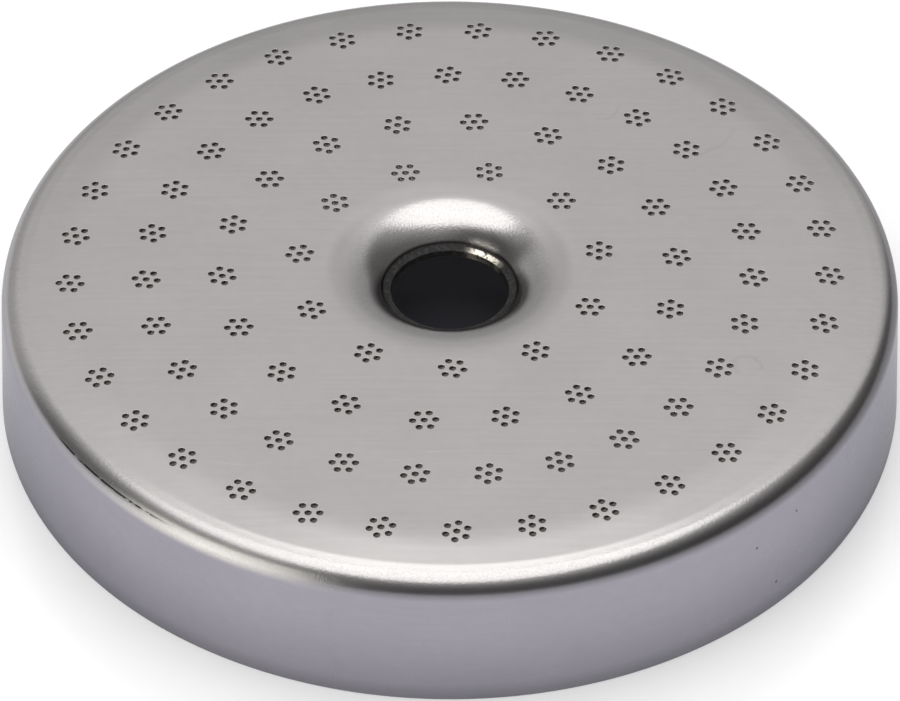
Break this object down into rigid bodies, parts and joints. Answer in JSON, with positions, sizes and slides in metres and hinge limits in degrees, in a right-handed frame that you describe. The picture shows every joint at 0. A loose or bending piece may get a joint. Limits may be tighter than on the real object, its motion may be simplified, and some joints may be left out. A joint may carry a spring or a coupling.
{
  "type": "espresso shower screen",
  "caption": "Shallow pressed steel cup with a perforated face and a drawn screw recess, spreading brew water over the coffee bed.",
  "frame": {"origin": "centre of the skirt's cut edge, in the plane that the screen stands on", "axes": "+Z along the turning axis, out of the perforated face; +X along the spoke on which every ring has a cluster of holes"},
  "size_m": [0.06, 0.06, 0.0101],
  "materials": {
    "stainless_sheet": "satin rolled stainless sheet, brighter where it is drawn round the corner"
  },
  "bodies": {
    "root": {"shower_screen": "stainless_sheet"}
  },
  "joints": []
}
